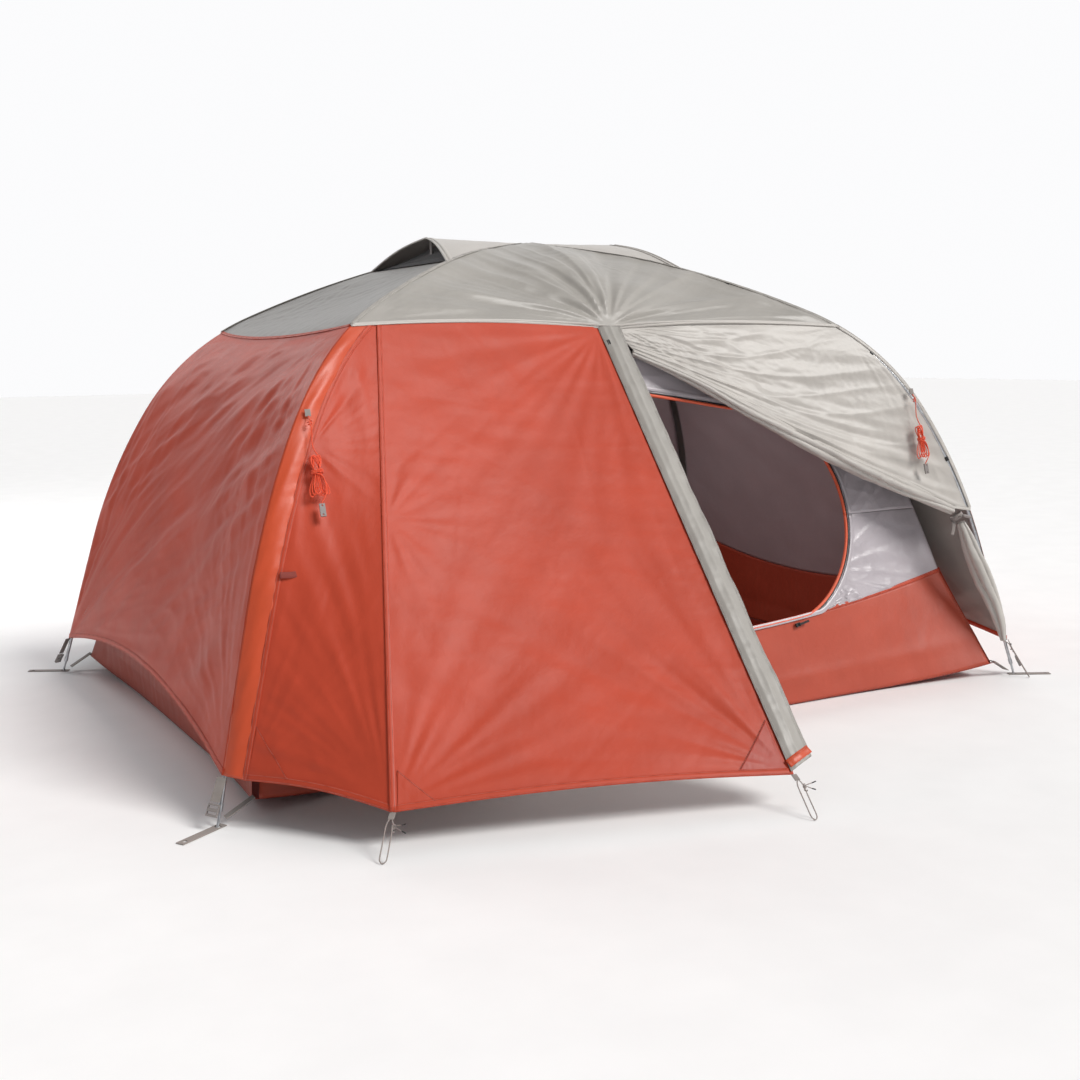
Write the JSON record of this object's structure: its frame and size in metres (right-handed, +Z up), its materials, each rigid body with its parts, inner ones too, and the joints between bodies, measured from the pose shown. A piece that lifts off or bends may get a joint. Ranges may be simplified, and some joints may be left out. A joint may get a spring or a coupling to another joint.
{
  "type": "dome tent on crossed poles",
  "caption": "Small camping dome tent on crossed bowed poles, with a bathtub-floor inner tent and a fly that forms a vestibule on each long side; the front door is rolled open and tied.",
  "frame": {"origin": "on the ground, straight below the hub where the poles cross", "axes": "+X along the tent towards its right end seen from the open door, +Y away from the open door, +Z up"},
  "size_m": [2.5256, 2.7538, 1.242],
  "materials": {
    "pole_aluminium": "satin anodised",
    "grey_plastic": "matt",
    "floor_cloth": "coated taffeta",
    "bathtub_cloth": "coated taffeta",
    "inner_cloth": "breathable taffeta",
    "mesh": "fine mesh",
    "zip": "coil zip",
    "fly_grey": "coated ripstop",
    "door_grey": "coated ripstop",
    "fly_orange": "coated ripstop",
    "webbing": "woven webbing",
    "loop_cord": "braided cord",
    "guy_cord": "braided cord"
  },
  "bodies": {
    "tent": {"pole_a": "pole_aluminium", "pole_b": "pole_aluminium", "pole_ferrules": "pole_aluminium", "pole_tips": "grey_plastic", "pole_hub": "grey_plastic", "hub_saddle": "grey_plastic", "brow_pole": "pole_aluminium", "pole_clips": "grey_plastic", "inner_floor": "floor_cloth", "bathtub_walls": "bathtub_cloth", "inner_front_wall": "inner_cloth", "inner_rear_wall": "inner_cloth", "inner_end_walls": "inner_cloth", "inner_roof": "mesh", "inner_front_door_roll": "inner_cloth", "roof_front": "fly_grey", "roof_rear": "fly_grey", "roof_left": "fly_grey", "roof_right": "fly_grey", "end_left": "fly_orange", "end_right": "fly_orange", "front_corner_panel": "fly_orange", "front_panel": "fly_orange", "front_storm_flap": "fly_grey", "front_door_panel": "door_grey", "front_door_roll": "door_grey", "front_door_bundle": "door_grey", "door_tie": "grey_plastic", "rear_corner_panel": "fly_orange", "rear_panel": "fly_orange", "rear_side_panel": "fly_orange", "zip_tapes": "zip", "left_vent_hood": "fly_grey", "right_vent_hood": "fly_grey", "corner_webbing": "webbing", "corner_buckles": "grey_plastic", "stake_tabs": "webbing", "front_left_stake_loop": "loop_cord", "front_apex_stake_loop": "loop_cord", "front_right_stake_loop": "loop_cord", "rear_left_stake_loop": "loop_cord", "rear_apex_stake_loop": "loop_cord", "rear_right_stake_loop": "loop_cord", "guyline_tabs": "webbing"},
    "front_zip": {"front_zip_slider": "zip"},
    "rear_zip": {"rear_zip_slider": "zip"},
    "rear_door": {"rear_door": "fly_orange"},
    "inner_rear_door": {"inner_rear_door": "inner_cloth"},
    "inner_zip": {"inner_zip_slider": "zip"},
    "left_prop": {"left_vent_prop": "grey_plastic"},
    "right_prop": {"right_vent_prop": "grey_plastic"},
    "front_left_guyline": {"front_left_hank": "guy_cord", "front_left_tensioner": "grey_plastic"},
    "front_right_guyline": {"front_right_hank": "guy_cord", "front_right_tensioner": "grey_plastic"},
    "rear_left_guyline": {"rear_left_hank": "guy_cord", "rear_left_tensioner": "grey_plastic"},
    "rear_right_guyline": {"rear_right_hank": "guy_cord", "rear_right_tensioner": "grey_plastic"}
  },
  "joints": [
    {"name": "front_zip_slide", "type": "slide", "parent": "tent", "child": "front_zip", "axis": [-0.0743, -0.6848, -0.725], "range_m": [0, 1.1715]},
    {"name": "rear_zip_slide", "type": "slide", "parent": "tent", "child": "rear_zip", "axis": [-0.0743, -0.6848, 0.725], "range_m": [0, 1.1715]},
    {"name": "rear_door_fold", "type": "hinge", "parent": "tent", "child": "rear_door", "pos_m": [-0.44232, 0.75317, 0.53405], "axis": [0.6472, -0.4346, 0.6263], "range_deg": [0, 105]},
    {"name": "inner_rear_door_hinge", "type": "hinge", "parent": "tent", "child": "inner_rear_door", "pos_m": [0.3985, 0.55073, 0.51336], "axis": [0, -0.3048, 0.9524], "range_deg": [0, 45]},
    {"name": "inner_zip_travel", "type": "hinge", "parent": "tent", "child": "inner_zip", "pos_m": [0.4, -0.55713, 0.49336], "axis": [0, -0.9524, 0.3048], "range_deg": [0, 135]},
    {"name": "left_prop_fold", "type": "hinge", "parent": "tent", "child": "left_prop", "pos_m": [-0.291, 0, 1.19623], "axis": [0, 1, 0], "range_deg": [0, 80], "deforming": ["left_vent_hood"]},
    {"name": "right_prop_fold", "type": "hinge", "parent": "tent", "child": "right_prop", "pos_m": [0.291, 0, 1.19623], "axis": [0, -1, 0], "range_deg": [0, 80], "deforming": ["right_vent_hood"]},
    {"name": "front_left_guyline_swing", "type": "hinge", "parent": "tent", "child": "front_left_guyline", "pos_m": [-0.888, -0.617, 0.803], "axis": [-0.9872, 0.1578, -0.0219], "range_deg": [0, 60]},
    {"name": "front_right_guyline_swing", "type": "hinge", "parent": "tent", "child": "front_right_guyline", "pos_m": [0.893, -0.614, 0.806], "axis": [-0.9923, 0.1097, -0.0574], "range_deg": [0, 60]},
    {"name": "rear_left_guyline_swing", "type": "hinge", "parent": "tent", "child": "rear_left_guyline", "pos_m": [-0.888, 0.617, 0.803], "axis": [0.9872, 0.1578, 0.0219], "range_deg": [0, 60]},
    {"name": "rear_right_guyline_swing", "type": "hinge", "parent": "tent", "child": "rear_right_guyline", "pos_m": [0.888, 0.617, 0.803], "axis": [0.9872, -0.1578, -0.0219], "range_deg": [0, 60]}
  ]
}
